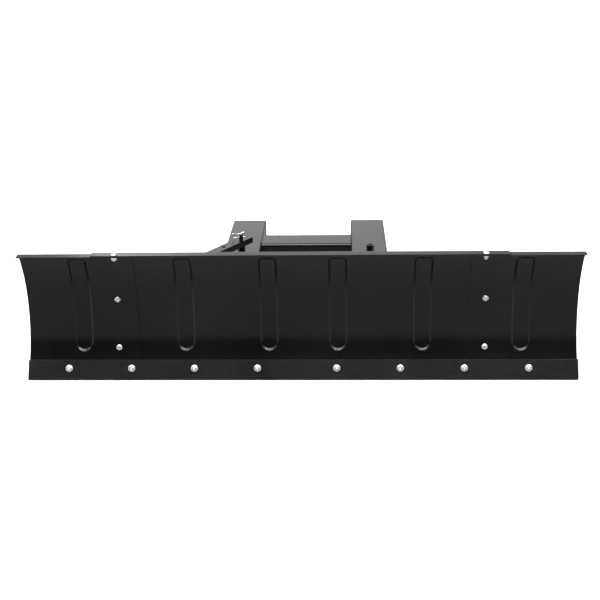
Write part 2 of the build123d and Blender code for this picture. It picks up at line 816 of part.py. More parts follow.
# ---- lock pin in the arm's last hole, and its spring clip ----------------------------
lock_low = post_top + arm_gap + 1
lock_high = arm_high + 16
clip_z = arm_high + 7
clip_tip = 13
clip_reach = 29
clip_back = 16
clip_waist = (13, 10)
clip_crest = (1, 12)
clip_flare = (-10, 15)
clip_loop_bend = 6
clip_soft_bend = 7


def clip_plane(along):
    """Square to the clip's straight leg, or upright through it when along is None."""
    pull = work.x_dir * -sin(radians(clip_bearing)) + work.y_dir * -cos(radians(clip_bearing))
    place = Vector(*spot(left_post_x, post_y, clip_z))
    if along is None:
        return Plane(place, x_dir=pull, z_dir=pull.cross(work.z_dir))
    return Plane(place + pull * along, x_dir=work.z_dir, z_dir=pull)


with BuildPart() as lock_pin:
    with BuildSketch(level(lock_low)):
        with Locations((left_post_x, post_y)):
            Circle(lock_pin_radius)
    extrude(amount=lock_high - lock_low)
    ends = lock_pin.edges().filter_by(GeomType.CIRCLE).sort_by(up)
    chamfer((ends[0], ends[-1]), 1)
    with BuildSketch(clip_plane(-2 * lock_pin_radius)):
        Circle(clip_hole_radius)
    extrude(amount=4 * lock_pin_radius, mode=Mode.SUBTRACT)
lock_pin.part.label = "lock_pin"
export_step(lock_pin.part, "parts/lock_pin.step")

with BuildPart() as lock_clip:
    with BuildLine(clip_plane(None)) as clip_route:
        FilletPolyline(
            (-clip_tip, 0),
            (clip_reach, 0),
            (clip_reach, clip_back),
            clip_waist,
            clip_crest,
            clip_flare,
            radius=[clip_loop_bend, clip_loop_bend, clip_soft_bend, clip_soft_bend],
        )
    with BuildSketch(clip_plane(-clip_tip)):
        Circle(clip_wire_radius)
    sweep()
lock_clip.part.label = "lock_clip"
export_step(lock_clip.part, "parts/lock_clip.step")
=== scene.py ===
import json
import math
import random

import bmesh
import bpy
from mathutils import Matrix, Vector

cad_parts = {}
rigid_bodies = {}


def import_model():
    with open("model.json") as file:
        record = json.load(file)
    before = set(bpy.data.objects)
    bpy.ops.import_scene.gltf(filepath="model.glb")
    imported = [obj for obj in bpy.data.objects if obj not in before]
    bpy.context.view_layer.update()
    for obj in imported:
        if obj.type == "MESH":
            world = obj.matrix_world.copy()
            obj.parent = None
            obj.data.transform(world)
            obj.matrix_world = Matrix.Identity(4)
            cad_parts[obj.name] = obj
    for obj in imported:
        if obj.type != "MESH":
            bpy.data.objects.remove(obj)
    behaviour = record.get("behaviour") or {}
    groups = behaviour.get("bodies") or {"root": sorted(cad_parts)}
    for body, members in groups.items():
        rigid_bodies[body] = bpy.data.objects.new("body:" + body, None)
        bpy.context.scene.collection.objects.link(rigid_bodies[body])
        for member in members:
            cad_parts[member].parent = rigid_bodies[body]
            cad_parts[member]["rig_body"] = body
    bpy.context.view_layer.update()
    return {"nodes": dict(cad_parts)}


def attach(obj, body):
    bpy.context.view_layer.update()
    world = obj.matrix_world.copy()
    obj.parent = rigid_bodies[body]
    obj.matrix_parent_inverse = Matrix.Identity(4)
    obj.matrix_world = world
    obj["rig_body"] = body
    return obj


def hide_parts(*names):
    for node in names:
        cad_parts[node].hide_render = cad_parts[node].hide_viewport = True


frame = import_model()
nodes = frame["nodes"]

# ---- the plow's own working frame -------------------------------------------------------
# Sizes below are in millimetres: x across, y rearward, z up, from the lower front corner
# of the cutting edge, with the push frame level. W() places them in the scene.
MM = 0.001
SHEET = 3.0
EDGE_THICKNESS = 6.0
EDGE_SLOPE = math.radians(29)
ROLL_RADIUS = 308.0
FLANGE_START = 15.0
ROLL_START = 65.0
LIP_HEIGHT = 351.0
LIP_REAR = 30.0
LIP_DEPTH = 25.0
LIP_DROOP = math.radians(3.8)
LIP_BEND = 2.0
RAIL_REAR = 862.0
RAIL_TOP = 183.0
RAIL_BOTTOM = 123.0

SLOPE_UP = (math.sin(EDGE_SLOPE), math.cos(EDGE_SLOPE))
SLOPE_IN = (math.cos(EDGE_SLOPE), -math.sin(EDGE_SLOPE))
HEEL = (EDGE_THICKNESS * SLOPE_IN[0], EDGE_THICKNESS * SLOPE_IN[1])
PARK = math.atan2(RAIL_BOTTOM - HEEL[1], RAIL_REAR - HEEL[0])
LIFT = HEEL[0] * math.sin(PARK) - HEEL[1] * math.cos(PARK)
DEPTH = RAIL_REAR * math.cos(PARK) + RAIL_TOP * math.sin(PARK)


def D(x, y, z):
    """A direction of the working frame, in the scene."""
    return Vector(
        (
            x,
            y * math.cos(PARK) + z * math.sin(PARK),
            z * math.cos(PARK) - y * math.sin(PARK),
        )
    )


def W(x, y, z):
    """A point of the working frame, in the scene, in metres."""
    return (D(x, y, z) + Vector((0, -DEPTH / 2, LIFT))) * MM


def slope(rise, inset):
    """A point (y, z) measured up the cutting edge's front face and in from it."""
    return (
        rise * SLOPE_UP[0] + inset * SLOPE_IN[0],
        rise * SLOPE_UP[1] + inset * SLOPE_IN[1],
    )


ROLL_CENTRE = slope(ROLL_START, EDGE_THICKNESS - ROLL_RADIUS)
LIP_FORWARD = (-math.cos(LIP_DROOP), -math.sin(LIP_DROOP))
LIP_UP = (LIP_FORWARD[1], -LIP_FORWARD[0])


def on_roll(radius, angle):
    """A point (y, z) on a circle about the roll's centre."""
    return (
        ROLL_CENTRE[0] + radius * math.cos(angle),
        ROLL_CENTRE[1] + radius * math.sin(angle),
    )


def lip_back():
    """The wing lip's rear corner (y, z)."""
    y = LIP_REAR - ROLL_CENTRE[0]
    z = LIP_HEIGHT - ROLL_CENTRE[1]
    half = y * LIP_FORWARD[0] + z * LIP_FORWARD[1]
    reach = -half - math.sqrt(half**2 - y**2 - z**2 + (ROLL_RADIUS + SHEET) ** 2)
    return (
        ROLL_CENTRE[0] + y + reach * LIP_FORWARD[0],
        ROLL_CENTRE[1] + z + reach * LIP_FORWARD[1],
    )


LIP_CORNER = lip_back()


def on_lip(forward, height):
    """A point (y, z) forward of the wing lip's rear corner, and above its top."""
    return (
        LIP_CORNER[0] + forward * LIP_FORWARD[0] + height * LIP_UP[0],
        LIP_CORNER[1] + forward * LIP_FORWARD[1] + height * LIP_UP[1],
    )


# ---- materials --------------------------------------------------------------------------
class Nodes:
    """A node tree that is written as expressions."""

    def __init__(self, tree):
        self.tree = tree
        self.tree.nodes.clear()

    def add(self, kind, **inputs):
        """A node; its inputs are given by socket name or as i0, i1, and may be links."""
        options = inputs.pop("options", {})
        node = self.tree.nodes.new(kind)
        for name, value in options.items():
            setattr(node, name, value)
        for name, value in inputs.items():
            key = int(name[1:]) if name[0] == "i" and name[1:].isdigit() else name
            socket = node.inputs[key]
            if isinstance(value, bpy.types.NodeSocket):
                self.tree.links.new(value, socket)
            else:
                socket.default_value = value
        return node

    def math(self, operation, a, b=0.0, clamp=False):
        options = {"operation": operation, "use_clamp": clamp}
        return self.add("ShaderNodeMath", i0=a, i1=b, options=options).outputs[0]

    def span(self, value, low, high, start=0.0, end=1.0):
        """value between low and high, smoothly taken to start and end."""
        node = self.add(
            "ShaderNodeMapRange",
            options={"interpolation_type": "SMOOTHSTEP"},
            i0=value,
            i1=low,
            i2=high,
            i3=start,
            i4=end,
        )
        return node.outputs[0]

    def noise(self, vector, scale, detail=2.0, roughness=0.5):
        node = self.add("ShaderNodeTexNoise", Vector=vector, Scale=scale)
        node.inputs["Detail"].default_value = detail
        node.inputs["Roughness"].default_value = roughness
        return node.outputs["Fac"]

    def blend(self, share, a, b):
        """The colour between a and b."""
        node = self.add("ShaderNodeMix", options={"data_type": "RGBA"}, i0=share)
        for socket, value in ((node.inputs[6], a), (node.inputs[7], b)):
            if isinstance(value, bpy.types.NodeSocket):
                self.tree.links.new(value, socket)
            else:
                socket.default_value = (*value, 1.0)
        return node.outputs[2]

    def stretch(self, vector, factors):
        node = self.add("ShaderNodeMapping", Vector=vector, Scale=factors)
        return node.outputs[0]


def new_material(name):
    material = bpy.data.materials.new(name)
    material.use_nodes = True
    return material, Nodes(material.node_tree)


def powder_coat(name, tone, roughness, specular, grain=1.0, rub=0.0):
    """Black powder coat: fine orange peel, slow changes of tone, thin rubbed edges."""
    material, n = new_material(name)
    where = n.add("ShaderNodeTexCoord").outputs["Object"]
    peel = n.noise(where, 620.0, 2.0, 0.55)
    cloud = n.noise(where, 5.0, 3.0, 0.55)
    mottle = n.noise(where, 70.0, 4.0, 0.6)
    specks = n.noise(where, 260.0, 1.0, 0.4)
    edge = n.add("ShaderNodeAttribute", options={"attribute_name": "edge"}).outputs["Fac"]
    shade = n.math("ADD", n.math("MULTIPLY", cloud, 0.65), n.math("MULTIPLY", mottle, 0.35))
    dark = tuple(0.72 * c for c in tone)
    light = tuple(1.35 * c for c in tone)
    colour = n.blend(n.span(shade, 0.3, 0.7), dark, light)
    dust = n.math("MULTIPLY", n.span(specks, 0.70, 0.80), 0.20)
    colour = n.blend(dust, colour, tuple(2.6 * c for c in tone))
    worn = n.math("MULTIPLY", edge, n.span(mottle, 0.42, 0.62, 0.25, 0.9))
    colour = n.blend(worn, colour, tuple(4.0 * c for c in tone))
    rough = n.span(shade, 0.3, 0.7, roughness * 0.9, roughness * 1.12)
    rough = n.math("ADD", rough, n.math("MULTIPLY", worn, 0.10))
    if rub:
        streak = n.noise(n.stretch(where, (3.0, 60.0, 60.0)), 6.0, 5.0, 0.65)
        scuff = n.math("MULTIPLY", n.span(streak, 0.5, 0.74), rub)
        colour = n.blend(scuff, colour, tuple(2.2 * c for c in tone))
        rough = n.math("ADD", rough, n.math("MULTIPLY", scuff, 0.12))
    height = n.math("ADD", n.math("MULTIPLY", peel, 0.8), n.math("MULTIPLY", mottle, 0.2))
    bump = n.add("ShaderNodeBump", Strength=0.10 * grain, Distance=0.0004, Height=height)
    shader = n.add("ShaderNodeBsdfPrincipled", Roughness=rough, Normal=bump.outputs[0])
    n.tree.links.new(colour, shader.inputs["Base Color"])
    shader.inputs["Specular IOR Level"].default_value = specular
    out = n.add("ShaderNodeOutputMaterial")
    n.tree.links.new(shader.outputs[0], out.inputs[0])
    return material


def bare_metal(name, tone, roughness, grain, tint, stain=0.4):
    """Plated or oiled metal: fine brushing, blotches of plating colour, duller specks."""
    material, n = new_material(name)
    where = n.add("ShaderNodeTexCoord").outputs["Object"]
    blotch = n.noise(where, 90.0, 3.0, 0.6)
    fine = n.noise(n.stretch(where, (1.0, 1.0, 5.0)), 900.0, 2.0, 0.6)
    spots = n.noise(where, 420.0, 2.0, 0.5)
    colour = n.blend(n.span(blotch, 0.35, 0.68), tone, tint)
    spot = n.math("MULTIPLY", n.span(spots, 0.6, 0.74), stain)
    colour = n.blend(spot, colour, tuple(0.45 * c for c in tone))
    rough = n.span(fine, 0.25, 0.75, roughness * 0.8, roughness * 1.25)
    rough = n.math("ADD", rough, n.math("MULTIPLY", spot, 0.2))
    bump = n.add("ShaderNodeBump", Strength=grain, Distance=0.0002, Height=fine)
    shader = n.add("ShaderNodeBsdfPrincipled", Roughness=rough, Normal=bump.outputs[0])
    n.tree.links.new(colour, shader.inputs["Base Color"])
    shader.inputs["Metallic"].default_value = 1.0
    out = n.add("ShaderNodeOutputMaterial")
    n.tree.links.new(shader.outputs[0], out.inputs[0])
    return material


# The blacks are darker than real powder coat is likely to be: they were set by comparing the
# render with the photo, under the light at the end of this file.
BLADE_BLACK = (0.0026, 0.0026, 0.0025)
FRAME_BLACK = (0.0022, 0.0022, 0.0020)
EDGE_BLACK = (0.0050, 0.0050, 0.0048)
ZINC, ZINC_TINT = (0.60, 0.61, 0.62), (0.76, 0.77, 0.76)
OXIDE, OXIDE_TINT = (0.035, 0.035, 0.036), (0.055, 0.052, 0.05)
BRONZE, BRONZE_TINT = (0.62, 0.42, 0.20), (0.50, 0.32, 0.14)
coat = powder_coat("black_powder_coat", BLADE_BLACK, 0.16, 0.23)
frame_coat = powder_coat("frame_powder_coat", FRAME_BLACK, 0.22, 0.23, 1.4)
edge_coat = powder_coat("edge_powder_coat", EDGE_BLACK, 0.30, 0.19, 1.6, 0.5)
zinc = bare_metal("zinc_plating", ZINC, 0.30, 0.12, ZINC_TINT)
dark_steel = bare_metal("black_oxide", OXIDE, 0.36, 0.15, OXIDE_TINT)
bronze = bare_metal("bronze", BRONZE, 0.38, 0.15, BRONZE_TINT)


# ---- pieces -----------------------------------------------------------------------------
EDGE_ANGLE = math.radians(32)


def body_of_node(node):
    return nodes[node]["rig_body"]


def finish_mesh(bm, bevel, segments=2):
    """Rounds the sharp outer edges, marks them for the wear, and smooths the shading."""
    bm.normal_update()
    edge_layer = bm.faces.layers.float.new("edge")
    sharp = [
        e
        for e in bm.edges
        if e.is_manifold and e.is_convex and e.calc_face_angle(0.0) > EDGE_ANGLE
    ]
    if bevel and sharp:
        made = bmesh.ops.bevel(
            bm,
            geom=sharp,
            offset=bevel * MM,
            offset_type="OFFSET",
            segments=segments,
            profile=0.5,
            affect="EDGES",
            clamp_overlap=True,
        )
        for face in made["faces"]:
            face[edge_layer] = 1.0
    for face in bm.faces:
        face.smooth = True
    for e in bm.edges:
        if e.is_manifold and e.calc_face_angle(0.0) > math.radians(50):
            e.smooth = False


def place(name, bm, material, body, replaced=()):
    """Puts a finished mesh in the scene as one piece."""
    mesh = bpy.data.meshes.new(name)
    bm.to_mesh(mesh)
    bm.free()
    mesh.materials.append(material)
    piece = bpy.data.objects.new(name, mesh)
    bpy.context.scene.collection.objects.link(piece)
    level = piece.modifiers.new("normals", "WEIGHTED_NORMAL")
    level.keep_sharp = True
    level.weight = 50
    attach(piece, body)
    if replaced:
        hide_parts(*replaced)
    return piece


def softened(node, material, bevel=0.7, segments=2):
    """A CAD node with its outer edges rounded as a coated or machined edge is."""
    bm = bmesh.new()
    bm.from_mesh(nodes[node].data)
    bmesh.ops.remove_doubles(bm, verts=bm.verts, dist=2e-6)
    bmesh.ops.dissolve_limit(
        bm,
        angle_limit=math.radians(0.2),
        verts=bm.verts,
        edges=bm.edges,
        use_dissolve_boundaries=False,
    )
    finish_mesh(bm, bevel, segments)
    return place(node + "_looks", bm, material, body_of_node(node), (node,))


# ---- the moldboard: rolled sheets with pressed beads ------------------------------------
BEAD_HALF = 22.5
BEAD_DEPTH = 3.0
BEAD_LOW = 68.0
BEAD_HIGH = 331.0
BEAD_SHOULDER = 6.5
BEAD_CORNER = 10.0


def sheet_line(layer):
    """The sheet's middle line from flange to lip, as (y, z, outward y, outward z)."""
    middle = (layer + 0.5) * SHEET
    radius = ROLL_RADIUS + middle
    turn = LIP_BEND + middle
    line = []
    for step in range(9):
        rise = FLANGE_START + (ROLL_START - FLANGE_START) * step / 9
        line.append((*slope(rise, EDGE_THICKNESS + middle), *SLOPE_IN))
    # The bend's middle lies one bend radius below the lip's middle line.
    base = on_lip(0, (layer - 0.5) * SHEET - turn)
    y, z = base[0] - ROLL_CENTRE[0], base[1] - ROLL_CENTRE[1]
    half = y * LIP_FORWARD[0] + z * LIP_FORWARD[1]
    reach = -half - math.sqrt(half**2 - y**2 - z**2 + (radius - turn) ** 2)
    centre = (base[0] + reach * LIP_FORWARD[0], base[1] + reach * LIP_FORWARD[1])
    top = math.atan2(centre[1] - ROLL_CENTRE[1], centre[0] - ROLL_CENTRE[0])
    steps = 176
    for step in range(steps + 1):
        angle = -EDGE_SLOPE + (top + EDGE_SLOPE) * step / steps
        line.append((*on_roll(radius, angle), math.cos(angle), math.sin(angle)))
    end = math.atan2(LIP_UP[1], LIP_UP[0])
    steps = 10
    for step in range(1, steps + 1):
        angle = top + (end - top) * step / steps
        out = (math.cos(angle), math.sin(angle))
        line.append((centre[0] + turn * out[0], centre[1] + turn * out[1], *out))
    steps = 6
    for step in range(1, steps + 1):
        forward = reach + (LIP_DEPTH - reach) * step / steps
        line.append((*on_lip(forward, (layer - 0.5) * SHEET), *LIP_UP))
    return line


def bead_push(x, z, beads):
    """How far the sheet is pressed back at a point."""
    away = min(abs(x - bead) for bead in beads)
    if z < BEAD_LOW + BEAD_HALF:
        inside = BEAD_HALF - math.hypot(away, BEAD_LOW + BEAD_HALF - z)
    else:
        side = max(away - BEAD_HALF + BEAD_CORNER, 0.0)
        top = max(z - BEAD_HIGH + BEAD_CORNER, 0.0)
        inside = BEAD_CORNER - math.hypot(side, top)
        if side == 0.0 or top == 0.0:
            inside = min(BEAD_HALF - away, BEAD_HIGH - z)
    share = min(max(inside / BEAD_SHOULDER + 0.5, 0.0), 1.0)
    return BEAD_DEPTH * share * share * (3 - 2 * share)


def stations(start, end, beads):
    """Places across a sheet, close together at the sides of its beads."""
    marks = {start, end}
    reach = BEAD_HALF + BEAD_SHOULDER / 2 + 0.5
    for bead in beads:
        count = 40
        for step in range(count + 1):
            marks.add(bead - reach + 2 * reach * step / count)
    marks = sorted(marks)
    dense = []
    for low, high in zip(marks, marks[1:]):
        count = max(1, round((high - low) / 12))
        dense += [low + (high - low) * step / count for step in range(count)]
    return dense + [end]


def rolled_sheet(name, layer, start, end, beads):
    """One sheet of the moldboard, with both faces, its rim and its pressed beads."""
    line = sheet_line(layer)
    xs = stations(start, end, beads)
    bm = bmesh.new()
    faces = []
    for side in (-0.5, 0.5):
        grid = []
        for x in xs:
            column = []
            for y, z, out_y, out_z in line:
                push = side * SHEET + bead_push(x, z, beads)
                column.append(bm.verts.new(W(x, y + push * out_y, z + push * out_z)))
            grid.append(column)
        faces.append(grid)
    front, back = faces
    rows, columns = len(line), len(xs)
    for i in range(columns - 1):
        for j in range(rows - 1):
            for grid, order in ((front, (0, 1, 2, 3)), (back, (3, 2, 1, 0))):
                corners = (grid[i][j], grid[i + 1][j], grid[i + 1][j + 1], grid[i][j + 1])
                bm.faces.new([corners[k] for k in order])
    for i in range(columns - 1):
        bm.faces.new((front[i + 1][0], front[i][0], back[i][0], back[i + 1][0]))
        last = rows - 1
        bm.faces.new(
            (front[i][last], front[i + 1][last], back[i + 1][last], back[i][last])
        )
    for j in range(rows - 1):
        bm.faces.new((front[0][j], front[0][j + 1], back[0][j + 1], back[0][j]))
        last = columns - 1
        bm.faces.new(
            (front[last][j + 1], front[last][j], back[last][j], back[last][j + 1])
        )
    finish_mesh(bm, 0.45)
    return place(name + "_looks", bm, coat, body_of_node(name), (name,))


CENTRE_HALF = 550.0
WING_OUTER = 748.5
LEFT_WING_INNER = -446.0
RIGHT_WING_INNER = 455.0
CENTRE_BEADS = (-315.0, -86.0, 102.0, 331.0)
WING_BEAD = 597.0
rolled_sheet("centre_moldboard", 1, -CENTRE_HALF, CENTRE_HALF, CENTRE_BEADS)
rolled_sheet("left_wing", 0, -WING_OUTER, LEFT_WING_INNER, (-WING_BEAD,))
rolled_sheet("right_wing", 0, RIGHT_WING_INNER, WING_OUTER, (WING_BEAD,))


# ---- fasteners --------------------------------------------------------------------------
def turned(bm, origin, axis, profile, sides=40, cap=True):
    """A turned shape: profile is a list of (radius, height) from one end to the other."""
    axis = axis.normalized()
    across = axis.orthogonal().normalized()
    other = axis.cross(across)
    rings = []
    for radius, height in profile:
        centre = origin + axis * (height * MM)
        if radius <= 0:
            rings.append([bm.verts.new(centre)])
            continue
        ring = []
        for step in range(sides):
            angle = 2 * math.pi * step / sides
            spoke = across * math.cos(angle) + other * math.sin(angle)
            ring.append(bm.verts.new(centre + spoke * (radius * MM)))
        rings.append(ring)
    if not cap:
        rings.append(rings[0])
    for low, high in zip(rings, rings[1:]):
        for step in range(sides):
            after = (step + 1) % sides
            if len(low) == 1:
                bm.faces.new((low[0], high[after], high[step]))
            elif len(high) == 1:
                bm.faces.new((low[step], low[after], high[0]))
            else:
                bm.faces.new((low[step], low[after], high[after], high[step]))


def dome(radius, height, rim=0.7, dimple=0.0):
    """A round head's profile above its seat, from the rim to the middle."""
    profile = [(radius - 0.2, 0.0), (radius, 0.2), (radius, rim)]
    steps = 9
    for step in range(1, steps):
        angle = math.pi / 2 * step / steps
        rise = rim + (height - rim) * math.sin(angle)
        profile.append((radius * math.cos(angle) ** 0.8, rise))
    if dimple:
        top = profile[-1][1]
        profile += [(dimple, top), (dimple * 0.75, top - 0.45), (0.0, top - 0.55)]
    else:
        profile.append((0.0, height))
    return profile


def thread(radius, start, end, pitch):
    """A bolt's threaded end, going down from start to end."""
    profile = []
    depth = 0.55 * pitch
    height = start
    while height - pitch > end + 1.0:
        profile += [(radius, height), (radius - depth, height - pitch / 2)]
        height -= pitch
    profile += [(radius, height), (radius, end + 1.0), (radius - 1.0, end), (0.0, end)]
    return profile


def round_bolt(bm, origin, axis, radius, head, grip, tail, pitch, dimple):
    """A round-headed bolt: its seat is at origin, and axis points out of the head."""
    foot = -(grip + tail)
    lower = thread(radius, -grip, foot, pitch)
    shank = list(reversed(lower)) + [(radius, 0.0)]
    turned(bm, origin, axis, shank + dome(*head, dimple=dimple))


def hex_nut(bm, origin, axis, flats, hole, height, turn):
    """A hexagon nut with chamfered corners: it stands on origin, along axis."""
    axis = axis.normalized()
    across = axis.orthogonal().normalized()
    other = axis.cross(across)
    apothem = flats / 2
    bevel = apothem * 0.96
    sides = 72
    lean = math.tan(math.radians(30))
    rings = []
    for step in range(sides):
        angle = 2 * math.pi * step / sides
        local = (angle % (math.pi / 3)) - math.pi / 6
        corner = apothem / math.cos(local)
        drop = (corner - bevel) * lean
        spoke = across * math.cos(angle + turn) + other * math.sin(angle + turn)
        outline = (
            (hole, 0.6),
            (hole + 0.6, 0.0),
            (bevel, 0.0),
            (corner, drop),
            (corner, height - drop),
            (bevel, height),
            (hole + 0.6, height),
            (hole, height - 0.6),
        )
        rings = rings or [[] for _ in outline]
        for ring, (radius, rise) in zip(rings, outline):
            ring.append(bm.verts.new(origin + (spoke * radius + axis * rise) * MM))
    rings.append(rings[0])
    for low, high in zip(rings, rings[1:]):
        for step in range(sides):
            after = (step + 1) % sides
            bm.faces.new((low[step], low[after], high[after], high[step]))


def flat_washer(bm, origin, axis, outer, inner, thickness):
    """A washer standing on origin, along axis, with its rims eased."""
    ease = 0.3
    profile = [
        (inner, ease),
        (inner + ease, 0.0),
        (outer - ease, 0.0),
        (outer, ease),
        (outer, thickness - ease),
        (outer - ease, thickness),
        (inner + ease, thickness),
        (inner, thickness - ease),
    ]
    turned(bm, origin, axis, profile, 48, cap=False)


def fasteners(name, material):
    """Starts an empty mesh, and gives back what closes it as the piece for that node."""
    bm = bmesh.new()

    def close():
        bmesh.ops.recalc_face_normals(bm, faces=bm.faces)
        finish_mesh(bm, 0)
        place(name + "_looks", bm, material, body_of_node(name), (name,))

    return bm, close


EDGE_BOLT_SHIFT = -10
EDGE_BOLT_FIRST = 108
EDGE_BOLT_PITCH = 172.8
EDGE_BOLTS = [
    EDGE_BOLT_SHIFT + hand * (EDGE_BOLT_FIRST + EDGE_BOLT_PITCH * k)
    for hand in (-1, 1)
    for k in range(4)
]
EDGE_BOLT_RISE = 31.0
WASHER = 2.0
WING_BOLT_X = 500.0
WING_BOLT_ANGLES = (0.5, -24.5)
LIP_BOLT_X = 488.0
LIP_BOLT_BACK = 17.0
KING_PIN_Y = 168.0
KING_NUT_SEAT = 112.0
THIN = EDGE_THICKNESS + SHEET
FULL = EDGE_THICKNESS + 2 * SHEET
dice = random.Random(11)

bolts, close_bolts = fasteners("cutting_edge_bolts", zinc)
washers, close_washers = fasteners("cutting_edge_washers", zinc)
nuts, close_nuts = fasteners("cutting_edge_nuts", zinc)
spacers, close_spacers = fasteners("cutting_edge_spacers", zinc)
edge_out = D(0, -SLOPE_IN[0], -SLOPE_IN[1])
for x in EDGE_BOLTS:
    stack = FULL if abs(x) < CENTRE_HALF else THIN
    seat = W(x, *slope(EDGE_BOLT_RISE, 0))
    round_bolt(bolts, seat, edge_out, 5.0, (10.5, 5.5), stack + 10, 4.0, 1.5, 2.6)
    back = W(x, *slope(EDGE_BOLT_RISE, stack))
    flat_washer(washers, back, -edge_out, 10.0, 5.1, WASHER)
    behind = W(x, *slope(EDGE_BOLT_RISE, stack + WASHER))
    hex_nut(nuts, behind, -edge_out, 16.0, 5.1, 8.0, dice.uniform(0, 1))
    if LEFT_WING_INNER < x < RIGHT_WING_INNER:
        under = W(x, *slope(EDGE_BOLT_RISE, EDGE_THICKNESS))
        flat_washer(spacers, under, -edge_out, 10.0, 5.1, SHEET)
for close in (close_bolts, close_washers, close_nuts, close_spacers):
    close()

for joint in ("wing", "lip"):
    bolts, close_bolts = fasteners(joint + "_bolts", zinc)
    washers, close_washers = fasteners(joint + "_washers", zinc)
    nuts, close_nuts = fasteners(joint + "_nuts", zinc)
    seats = []
    for hand in (-1, 1):
        if joint == "wing":
            for degrees in WING_BOLT_ANGLES:
                angle = math.radians(degrees)
                out = (-math.cos(angle), -math.sin(angle))
                seats.append((hand * WING_BOLT_X, on_roll(ROLL_RADIUS, angle), out))
        else:
            seats.append((hand * LIP_BOLT_X, on_lip(LIP_BOLT_BACK, SHEET), LIP_UP))
    for x, (y, z), out in seats:
        axis = D(0, *out)
        seat = W(x, y, z)
        head_seat = seat + axis.normalized() * (0.15 * MM)
        round_bolt(bolts, head_seat, axis, 4.0, (8.5, 4.5), 14.65, 4.0, 1.25, 0.0)
        inward = -axis
        back = seat + inward.normalized() * (2 * SHEET * MM)
        flat_washer(washers, back, inward, 9.0, 4.1, WASHER)
        behind = seat + inward.normalized() * ((2 * SHEET + WASHER) * MM)
        hex_nut(nuts, behind, inward, 13.0, 4.1, 6.5, dice.uniform(0, 1))
    for close in (close_bolts, close_washers, close_nuts):
        close()

# ---- plates, tubes and pins: the CAD shapes with eased edges ----------------------------
for node in ("left_inner_rib", "right_inner_rib", "left_outer_rib", "right_outer_rib"):
    softened(node, coat, 0.6)
for node in ("back_beam", "pivot_bracket", "left_arm_bracket", "right_arm_bracket"):
    softened(node, coat, 0.6)
for node in (
    "left_side_rail",
    "right_side_rail",
    "front_cross_member",
    "rear_cross_member",
    "nose_tube",
    "left_gusset",
    "right_gusset",
    "pivot_sleeve",
    "left_post",
    "right_post",
    "lift_eye",
    "steering_arm",
):
    softened(node, frame_coat, 0.6)
softened("cutting_edge", edge_coat, 0.8)
softened("pivot_bush", bronze, 0.3)
softened("king_pin", zinc, 0.6)
softened("king_pin_washers", zinc, 0.3)
softened("arm_pivot_pin", zinc, 0.2)
softened("arm_pin_cotter", zinc, 0.0)
softened("lock_pin", dark_steel, 0.3)

bm, close = fasteners("king_pin_nut", zinc)
hex_nut(bm, W(0, KING_PIN_Y, KING_NUT_SEAT), D(0, 0, -1), 30.0, 10.1, 18.0, 0.0)
close()

# ---- the spring clip of the lock pin ----------------------------------------------------
CLIP_WIRE = 1.4
CLIP_BEARING = math.radians(70)
LEFT_POST_X = -193.0
RIGHT_POST_X = 200.0
POST_Y = 460.0
POST_RADIUS = 11.5
CLIP_PLACE = (LEFT_POST_X, POST_Y, 256.5)
CLIP_LINE = [(-13, 0), (29, 0), (29, 16), (13, 10), (1, 12), (-10, 15)]
CLIP_BENDS = (6.0, 6.0, 7.0, 7.0)


def rounded(points, radii, step=0.6):
    """A line of points whose corners are arcs of the given radii."""
    line = [Vector(points[0])]
    for before, corner, after, radius in zip(points, points[1:], points[2:], radii):
        corner = Vector(corner)
        back = (Vector(before) - corner).normalized()
        on = (Vector(after) - corner).normalized()
        half = back.angle(on) / 2
        reach = radius / math.tan(half)
        centre = corner + (back + on).normalized() * (radius / math.sin(half))
        start, end = corner + back * reach - centre, corner + on * reach - centre
        sweep = start.angle(end)
        count = max(3, round(radius * sweep / step))
        for k in range(count + 1):
            t = k / count
            spoke = start * math.sin((1 - t) * sweep) + end * math.sin(t * sweep)
            line.append(centre + spoke / math.sin(sweep))
    line.append(Vector(points[-1]))
    return line


def tube(bm, line, radii, side, sides=14):
    """A tube along points that lie in the plane square to side; its ends are rounded."""
    rings = []
    for index, point in enumerate(line):
        before = line[max(index - 1, 0)]
        after = line[min(index + 1, len(line) - 1)]
        along = (after - before).normalized()
        other = along.cross(side).normalized()
        ring = []
        for k in range(sides):
            angle = 2 * math.pi * k / sides
            spoke = side * math.cos(angle) + other * math.sin(angle)
            ring.append(bm.verts.new(point + spoke * radii[index]))
        rings.append(ring)
    for low, high in zip(rings, rings[1:]):
        for k in range(sides):
            after = (k + 1) % sides
            bm.faces.new((low[k], low[after], high[after], high[k]))
    bm.faces.new(reversed(rings[0]))
    bm.faces.new(rings[-1])


pull = D(-math.sin(CLIP_BEARING), -math.cos(CLIP_BEARING), 0)
rise = D(0, 0, 1)
flat_line = rounded([(x, y, 0) for x, y in CLIP_LINE], CLIP_BENDS)
clip_line = [W(*CLIP_PLACE) + (pull * p.x + rise * p.y) * MM for p in flat_line]
bm, close = fasteners("lock_clip", zinc)
head_line = [clip_line[0].lerp(clip_line[1], t) for t in (0.0, 0.01, 0.03)]
tail_line = [clip_line[-2].lerp(clip_line[-1], t) for t in (0.9, 0.97, 1.0)]
line = head_line + clip_line[1:-1] + tail_line
wire = [CLIP_WIRE * MM] * len(line)
for index, share in ((0, 0.45), (1, 0.85), (-1, 0.45), (-2, 0.85)):
    wire[index] = CLIP_WIRE * MM * share
tube(bm, line, wire, pull.cross(rise))
close()

# ---- weld beads -------------------------------------------------------------------------
RIPPLE = 3.0
weld_dice = random.Random(5)


